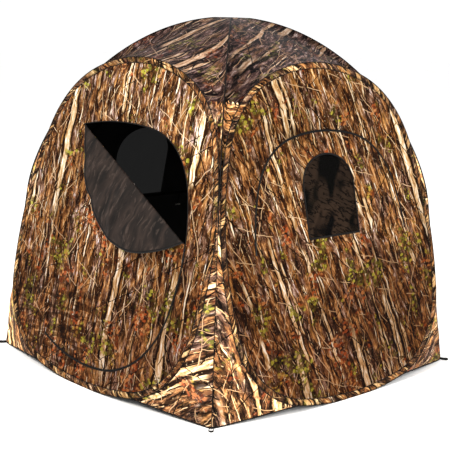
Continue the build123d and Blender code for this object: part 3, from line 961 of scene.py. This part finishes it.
for index, side in enumerate(TURNS):
    body = side + "_panel"
    print_cloth = CAMO if side == "front" else CAMO_LEAN
    wall = flat_cloth(side + "_wall_cloth", side, HOOP_EDGE, holes[side],
                      wall_relief(10 + index, holes[side]), (print_cloth, COATED), index)
    attach(wall, body, side + "_wall")

    sleeve = [sweep(side + "_sleeve_cloth", side, HOOP, SLEEVE_SECTION, (CAMO_SLEEVE, COATED),
                    closed=True, step=0.007, shift=(0.31, 0.17), wobble=gathers(index), run=True,
                    slots=SLEEVE_SLOTS)]
    for off in (-0.0098, 0.0098):
        sleeve.append(blocks(side + "_stitch", side, HOOP, off, 0.0030, (0.0042, 0.0008, 0.0012),
                             0.0062, (BINDING,)))
    # black strips along both edges of the sleeve: painted shade in the grooves where it meets the wall
    for off in (-0.0134, 0.0134):
        groove_shade = strip_section(off - 0.0014, off + 0.0014, -0.0012, 0.0016)
        sleeve.append(sweep(side + "_piping", side, HOOP, groove_shade, (BINDING,), closed=True))
    sleeve = merged(side + "_sleeve_cloth", sleeve)
    attach(sleeve, body, side + "_sleeve")
    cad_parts[side + "_hoop"].data.materials[0] = STEEL
    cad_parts[side + "_ferrule"].data.materials[0] = FERRULE


# ---- zips ----------------------------------------------------------------------------------------
def zip_row(name, side, arcs, sign, body, node, strip=None):
    """One side of a zip: a woven tape with a raised coil of teeth along its edge. A draught strip
    may lie behind both sides, so that no light shows between the teeth."""
    tape = strip_section(0.0012, 0.0078, -0.0008, -0.0002, sign)
    cord = strip_section(0.0012, 0.0030, -0.0006, 0.0010, sign)
    parts = [sweep(name, side, arcs, tape, (TAPE, COIL)),
             sweep(name + "_cord", side, arcs, cord, (COIL,)),
             blocks(name + "_teeth", side, arcs, sign * 0.0014, 0.0004, (0.0013, 0.0024, 0.0022),
                    0.0022, (COIL,), 0.25 * sign)]
    if strip:
        behind = strip_section(-0.0075, 0.0075, -0.0042, -0.0037)
        parts.append(sweep(name + "_strip", side, strip, behind, (TAPE,)))
    attach(merged(name, parts), body, node)


DOOR_BELOW = part_of(DOOR, lambda u, s: not above_chord(u, s, -0.001))
zip_row("door_zip_row", "front", DOOR, 1, "front_panel", "door_zip", DOOR_BELOW)
zip_row("door_panel_zip_row", "front", DOOR_BELOW, -1, "door", "door_panel_zip")
for side in WINDOW_SIDES:
    zip_row(side + "_window_zip_row", side, WINDOW, 1, side + "_panel", side + "_window_zip", WINDOW)
    zip_row(side + "_panel_zip_row", side, WINDOW, -1, side + "_window", side + "_window_panel_zip")

for opening in ("door", "right_window", "back_window", "left_window"):
    for part in ("_slider", "_pull"):
        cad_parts[opening + part].data.materials[0] = ENAMEL

# ---- door ----------------------------------------------------------------------------------------
whole = clip(door_loop(-ZIP_EDGE), np.array((DOOR_HINGE_U + FOLD_EDGE, 0.0)), np.array((1.0, 0.0)))
lower = densify(clip(whole, CHORD_A - CHORD_UP * 0.0006, -CHORD_UP), 0.012)
upper = densify(clip(whole, CHORD_A + CHORD_UP * 0.0006, CHORD_UP), 0.010)
door = flat_cloth("door_cloth", "front", lower, [], panel_relief(31, lower, 0.004), (CAMO, COATED), 31)
attach(door, "door", "door_panel")


def folded(pts):
    """Where a point of the flap goes when it is turned over its chord and hangs outside."""
    a = (pts - CHORD_A) @ CHORD_DIR
    h = np.maximum((pts - CHORD_A) @ CHORD_UP, 0.0)
    roll = 0.0045
    turn = np.minimum(h / roll, math.pi)
    rest = np.maximum(h - math.pi * roll, 0.0)
    lean = math.radians(180.0 - FLAP_REST) * 0.8
    up = roll * np.sin(turn) - rest * math.cos(lean)
    out = roll * (1 - np.cos(turn)) + rest * math.sin(lean)
    # a belly across the middle, hanging waves, and one firm diagonal fold
    middle = 1 - ((a - 0.43) / 0.43) ** 2
    out += 0.020 * np.maximum(middle, 0) * np.sin(np.minimum(rest / 0.26, 1) * math.pi)
    soft = fade(rest, 0.09)
    skew = a + 0.55 * h
    out += soft * (0.0075 * waves(skew * 1.5, h * 0.35, 77, 11.0)
                   + 0.0032 * waves(skew * 1.6, h * 0.5, 78, 30.0))
    out += soft * 0.006 * np.maximum(0, 1 - np.abs(a - 0.30 - 0.9 * h) / 0.05)
    up += soft * 0.004 * waves(a, h, 79, 13.0)
    flat = CHORD_A + a[:, None] * CHORD_DIR + up[:, None] * CHORD_UP
    return on_wall(flat, out + 0.0022, "front")


pts, faces = net(upper, [], 0.010, 5)
flap = thicken(new_object("flap_cloth", folded(pts), faces, pts + print_origin("front"),
                          (CAMO, FLAP_BACK)))
attach(flap, "flap", "door_flap")

flap_arcs = part_of(DOOR, lambda u, s: above_chord(u, s, 0.004) and u > DOOR_HINGE_U + 0.004)
edge_3d = folded(sample(flap_arcs, -0.0030, 0.008))
rib_3d = folded(sample(flap_arcs, -0.0100, 0.008))
face_out = np.cross(np.gradient(edge_3d, axis=0), edge_3d - rib_3d)
face_out /= np.linalg.norm(face_out, axis=1)[:, None]
coil = tube("flap_zip_row", edge_3d, (0.0028, 0.0016), (COIL,), sides=8, flat=face_out)
tape = tube("flap_zip_tape", (edge_3d + rib_3d) / 2, (0.0056, 0.0014), (TAPE,), sides=8, flat=face_out)
attach(merged("flap_zip_row", [coil, tape]), "flap", "door_flap_zip")


# ---- windows -------------------------------------------------------------------------------------
def window_relief(seed, outer, glass):
    """A window panel's folds, which also die out at its mesh."""
    folds = panel_relief(seed, outer, 0.003)
    return lambda pts: folds(pts) * fade(distance(pts, glass), 0.03)


def mesh_relief(outer):
    """The mesh lies behind the panel and sags a little inward."""
    return lambda pts: -0.0022 - 0.004 * fade(distance(pts, outer), 0.08)


for index, side in enumerate(WINDOW_SIDES):
    body = side + "_window"
    outer = densify(window_loop(-ZIP_EDGE, WINDOW_HINGE_S + FOLD_EDGE), 0.012)
    glass = densify(mesh_outline(0.0), 0.010)
    panel = flat_cloth(side + "_panel_cloth", side, outer, [glass],
                       window_relief(60 + index, outer, glass), (CAMO_PANEL, COATED), 60 + index)
    attach(panel, body, side + "_window_panel")
    hole = densify(mesh_outline(-0.006), 0.010)
    net_cloth = flat_cloth(side + "_mesh_cloth", side, hole, [], mesh_relief(hole),
                           (MESH_CLOTH, MESH_INSIDE), 70 + index, MESH_THICK)
    attach(net_cloth, body, side + "_window_mesh")
    path = on_wall(resampled(mesh_outline(-0.001), 0.006), 0.0010, side)
    binding = tube(side + "_window_binding", path, (0.0042, 0.0012), (BINDING,), sides=8,
                   closed=True, flat=turned(W_AXIS, side))
    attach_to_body(binding, body)


# ---- the fold tape below each window, with two ties and toggles for a rolled window panel ----------
def wall_tube(name, side, points, radius, material, sides=8):
    """A tube or strap along points in wall coordinates."""
    u, s, w = np.asarray(points, float).T
    return tube(name, to_world(u, s, w, side), radius, (material,), sides, flat=turned(W_AXIS, side))


for side in WINDOW_SIDES:
    reach = -WINDOW_START[0]
    row = [(u, WINDOW_HINGE_S - 0.004, -0.0018) for u in np.linspace(-reach, reach, 60)]
    pieces = [wall_tube(side + "_fold_tape", side, row, (0.0080, 0.0005), TAPE)]
    for u in (-0.30, 0.30):
        strap = [(u, WINDOW_HINGE_S - 0.012 - 0.010 * k, -0.0030 - 0.0035 * math.sin(k * 0.52))
                 for k in range(7)]
        peg = [(u + x, WINDOW_HINGE_S - 0.072, -0.0060) for x in np.linspace(-0.016, 0.016, 9)]
        pieces.append(wall_tube(side + "_tie", side, strap, (0.0050, 0.0006), WEBBING))
        pieces.append(wall_tube(side + "_toggle", side, peg, 0.0034, TOGGLE, 12))
    tape = merged(side + "_fold_tape", pieces)
    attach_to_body(tape, side + "_panel")


# ---- corner gussets, roof, seams and stake loops ---------------------------------------------------
def ridge_point(z):
    """A point of the front right ridge at a height."""
    k = np.clip((z - RIDGE_Z) / (APEX_Z - RIDGE_Z), 0, 1)
    r = RIDGE_R * np.sqrt(np.maximum(1 - k ** 1.5, 0)) / math.sqrt(2)
    return np.stack([r, -r, z], -1)


def up_the_ridge(gap, count):
    """Heights from the gussets' top to just under the apex, closer together near the apex."""
    return SEAM_Z + (APEX_Z - gap - SEAM_Z) * np.sin(np.linspace(0, 1, count) * math.pi / 2)


def right_rim(low, high, count):
    """Points of the right half of the sleeve's outer edge between two heights, evenly spread."""
    pts = sample(HOOP, SLEEVE_LAP, 0.003)
    pts = pts[(pts[:, 0] >= -1e-6) & (pts[:, 1] >= low) & (pts[:, 1] <= high)]
    return spread(pts[np.argsort(np.arctan2(pts[:, 1] - 0.7, pts[:, 0]))], count)


def mirrored(grid):
    """The same patch on the wall's left side."""
    return grid * np.array((-1.0, 1.0, 1.0))


GUSSET_CORNER = np.array((FOOT_HALF, -FOOT_HALF, 0.0022))
SEAM_TOP = ridge_point(np.array(SEAM_Z))
SEAM_SLOPE = SEAM_Z / math.cos(TILT)     # the gussets' top, measured up the wall's slope


def gusset_half(seed, count=60, across=26):
    """The door wall's right gusset: from the sleeve's edge out to the corner seam."""
    rim = on_wall(right_rim(0.034, SEAM_SLOPE, count), 0.0, "front")
    t = np.linspace(0, 1, count)
    k = np.clip((t - 0.40) / 0.60, 0, 1) ** 1.25
    seam = GUSSET_CORNER + (SEAM_TOP - GUSSET_CORNER) * k[:, None]
    v = np.linspace(0, 1, across)
    grid = rim[:, None] + (seam - rim)[:, None] * v[None, :, None]
    t_grid, v_grid = np.meshgrid(t, v, indexing="ij")
    env = np.sin(np.pi * v_grid) * fade(t_grid, 0.08) * fade(1 - t_grid, 0.15)
    fold = 0.0045 * np.sin(t_grid * 19 + 1.7 * np.sin(t_grid * 7 + seed)) * env
    fold = fold + 0.0020 * waves(t_grid * 1.2, v_grid * 0.4, seed, 26.0) * env
    outward = np.array((0.42, -0.9, 0.1))
    grid = grid + fold[..., None] * outward / np.linalg.norm(outward)
    return grid, np.stack([grid[..., 0], grid[..., 2] * 1.03], -1)


def hem(name, foot, wall):
    """A bound edge along a gusset's foot."""
    foot[:, 2] = np.maximum(foot[:, 2], HEM_HEIGHT)
    return tube(name, turned(foot, wall), (0.0017, 0.0044), (BINDING,))


def gusset_pair(name, side, halves="ab"):
    """The triangles of one corner, sewn along the corner seam: a on the side's own wall and b on
    the next one."""
    order = list(TURNS)
    after = order[(order.index(side) + 1) % 4]
    verts, faces, uvs, slots, base, hems = [], [], [], [], 0, []
    for key, wall, seed in (("a", side, 3), ("b", after, 8)):
        if key not in halves:
            continue
        grid, uv = gusset_half(seed)
        n, m, _ = grid.shape
        if key == "b":
            grid = mirrored(grid)
            uv = uv * np.array((-1.0, 1.0))
        hems.append(hem(name + "_hem", grid[0].copy(), wall))
        verts.append(turned(grid.reshape(-1, 3), wall))
        uvs.append(uv.reshape(-1, 2) + print_origin(wall))
        cells = grid_faces(n, m, flip=(key == "a"))
        faces += [tuple(base + i for i in f) for f in cells]
        slots += [0 if key == "a" else 1] * len(cells)
        base += n * m
    obj = new_object(name, np.vstack(verts), faces, np.vstack(uvs),
                     (CAMO_TURNED, CAMO_FOOT, COATED, COATED), slots)
    return merged(name, [thicken(weld(obj, 0.0004), inner_slot=2)] + hems)


def roof_gore(name, side, seed, half=44, rise=26):
    """One gore as a relaxed membrane between the hoop's upper half and the two ridges."""
    rim2 = right_rim(SEAM_SLOPE, 9.0, half)
    rim2[-1][0] = 0.0
    rim_r = on_wall(rim2, 0.0, "front")
    ridge_r = ridge_point(up_the_ridge(0.0015, half))
    ridge_r[-1] = (0.0, 0.0, APEX_Z - 0.0015)
    rim = np.vstack([rim_r, mirrored(rim_r)[::-1][1:]])
    ridge = np.vstack([ridge_r, mirrored(ridge_r)[::-1][1:]])
    v = np.linspace(0, 1, rise)
    grid = rim[:, None] + (ridge - rim)[:, None] * v[None, :, None]
    for _ in range(160):
        inner = grid[1:-1, 1:-1]
        around = ((grid[:-2, 1:-1] + grid[2:, 1:-1]) * 0.32
                  + (grid[1:-1, :-2] + grid[1:-1, 2:]) * 0.18)
        grid[1:-1, 1:-1] = inner + 0.6 * (around - inner)
    t_grid, v_grid = np.meshgrid(np.linspace(-1, 1, len(rim)), v, indexing="ij")
    env = np.sin(np.pi * v_grid) * fade(1 - np.abs(t_grid), 0.25)
    wrinkle = (0.0050 * waves(t_grid, v_grid * 0.5, seed, 9.0)
               + 0.0022 * waves(t_grid, v_grid * 0.4, seed + 1, 26.0))
    grid = grid + (wrinkle * env)[..., None] * np.array((0.0, -0.55, 0.83))
    uv = np.stack([grid[..., 0], grid[..., 2] * 0.9 + grid[..., 1] * 0.85], -1)
    faces = grid_faces(len(rim), rise, flip=True)
    height = grid[..., 2].reshape(-1)
    slots = [1 if height[list(f)].mean() < LIGHT_TO else 0 for f in faces]
    roof = CAMO_ROOF[list(TURNS).index(side) % 2]
    obj = new_object(name, turned(grid.reshape(-1, 3), side), faces,
                     uv.reshape(-1, 2) + print_origin(side), (roof, CAMO_FOOT, COATED, COATED), slots)
    return thicken(weld(obj, 0.00005), inner_slot=2)


def stake_ring():
    """The centre line of the front right stake loop, a teardrop that lies flat."""
    ring = []
    for k in range(56):
        a = 2 * math.pi * k / 56
        x, y = math.cos(a), math.sin(a)
        reach = math.copysign(0.0065, x) * min(1, abs(x) * 5) + 0.0096 * x
        ring.append((reach * (1.35 if x < 0 else 1.0), 0.0090 * y, 0.0042 + 0.0030 * max(0.0, -x)))
    ring = np.array(ring) + np.array((FOOT_HALF * math.sqrt(2) + 0.0215, 0, 0))
    a = -math.pi / 4
    return ring @ np.array([[math.cos(a), math.sin(a), 0], [-math.sin(a), math.cos(a), 0], [0, 0, 1]])


# the corners that fold, with the bodies on both sides of each
FOLDS = {"front": ("front_panel", "right_panel"), "right": ("right_panel", "back_panel"),
         "left": ("left_panel", "front_panel")}
SWAY = np.array((1.0, -1.0, 0.0)) / math.sqrt(2)
for index, side in enumerate(TURNS):
    body = side + "_panel"

    # the gussets: one pair over a corner that folds, two halves at the opened corner
    if side in FOLDS:
        pair = gusset_pair(side + "_corner_gusset", side)
        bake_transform(pair)
        stand_in(side + "_gussets")
    else:
        for key, wall, joint in (("a", "back", "frame_fold"), ("b", "left", "left_fold")):
            half = gusset_pair(side + "_corner_gusset_" + key, side, key)
            attach(half, wall + "_panel", side + "_gussets")
            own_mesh(half)

    # the corner seam's lower half, then its ridge up to the apex
    path = GUSSET_CORNER + (SEAM_TOP - GUSSET_CORNER) * np.linspace(0, 1, 60)[:, None]
    path[:, 2] = np.maximum(path[:, 2], 0.0045)
    low = tube(side + "_seam_low", turned(path + SWAY * 0.0012, side), (0.0014, 0.0012), (BINDING,),
               flat=turned(SWAY, side))
    stand_in(side + "_corner_seam")
    if side in FOLDS:
        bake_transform(low)
    else:
        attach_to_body(low, body)
        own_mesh(low)

    ridge = ridge_point(up_the_ridge(0.004, 70))
    ridge[-1] = (0.002, -0.002, APEX_Z - 0.004)
    high = tube(side + "_seam_ridge", turned(ridge, side), (0.0024, 0.0018), (BINDING,),
                flat=turned(np.array((1.0, -1.0, 1.2)), side))
    attach(high, body, side + "_corner_seam")
    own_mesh(high)

    gore = roof_gore(side + "_roof_cloth", side, 90 + index * 3)
    attach(gore, body, side + "_roof_gore")
    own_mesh(gore)

    loop = tube(side + "_stake_webbing", turned(stake_ring(), side), (0.0011, 0.0040), (WEBBING,),
                sides=8, closed=True)
    if side in FOLDS:
        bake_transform(loop)
    else:
        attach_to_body(loop, body)
    stand_in(side + "_stake_loop")


# ---- floor, light and camera -----------------------------------------------------------------------
def floor_material():
    """An almost white floor."""
    g = Shader("pale_floor")
    tone = g.shades(g.noise(g.place(), 1.5, 4.0), (0.3, 247, 247, 246), (0.7, 251, 251, 251))
    return g.surface(tone, 0.85)


floor = new_object("floor", [(-40, -40, 0), (40, -40, 0), (40, 40, 0), (-40, 40, 0)], [(0, 1, 2, 3)],
                   None, (floor_material(),))

scene = bpy.context.scene
scene.view_settings.view_transform = "Standard"
world = bpy.data.worlds.new("studio")
scene.world = world
world.use_nodes = True
world.node_tree.nodes["Background"].inputs[0].default_value = (1.0, 1.0, 1.0, 1)
world.node_tree.nodes["Background"].inputs[1].default_value = 1.06


def area_light(name, place, target, size, power, colour):
    """A square lamp at a place, turned to a target."""
    light = bpy.data.lights.new(name, "AREA")
    light.size = size
    light.energy = power
    light.color = colour
    obj = bpy.data.objects.new(name, light)
    obj.location = place
    obj.rotation_euler = (Vector(target) - Vector(place)).to_track_quat("-Z", "Y").to_euler()
    scene.collection.objects.link(obj)


area_light("key", (1.2, -5.2, 4.6), (0, 0, 0.7), 2.2, 420, (1.0, 0.96, 0.9))
area_light("fill", (5.5, -0.4, 3.2), (0, 0, 0.7), 3.0, 240, (1.0, 0.98, 0.95))
area_light("rim", (-3.0, 4.0, 5.0), (0, 0, 1.0), 3.0, 160, (0.95, 0.97, 1.0))

# The camera stands 5.3 m from the blind's middle, at eye height, a touch rolled.
AZIMUTH, ELEVATION, ROLL = math.radians(46.8), math.radians(10.39), math.radians(1.73)
AIM_HEIGHT, AIM_SHIFT, DISTANCE = 0.626, -0.00365, 5.3
SENSOR_WIDTH, FOCAL_LENGTH = 36.0, 88.632
back = Vector((math.sin(AZIMUTH) * math.cos(ELEVATION), -math.cos(AZIMUTH) * math.cos(ELEVATION),
               math.sin(ELEVATION)))
right = Vector((math.cos(AZIMUTH), math.sin(AZIMUTH), 0))
up = back.cross(right)
rolled_right = right * math.cos(ROLL) + up * math.sin(ROLL)
rolled_up = up * math.cos(ROLL) - right * math.sin(ROLL)
camera = bpy.data.cameras.new("camera")
camera.sensor_width = SENSOR_WIDTH
camera.lens = FOCAL_LENGTH
eye = bpy.data.objects.new("camera", camera)
place = Vector((0, 0, AIM_HEIGHT)) + right * AIM_SHIFT + back * DISTANCE
turn = Matrix((rolled_right, rolled_up, back)).transposed().to_4x4()
eye.matrix_world = Matrix.Translation(place) @ turn
scene.collection.objects.link(eye)
scene.camera = eye
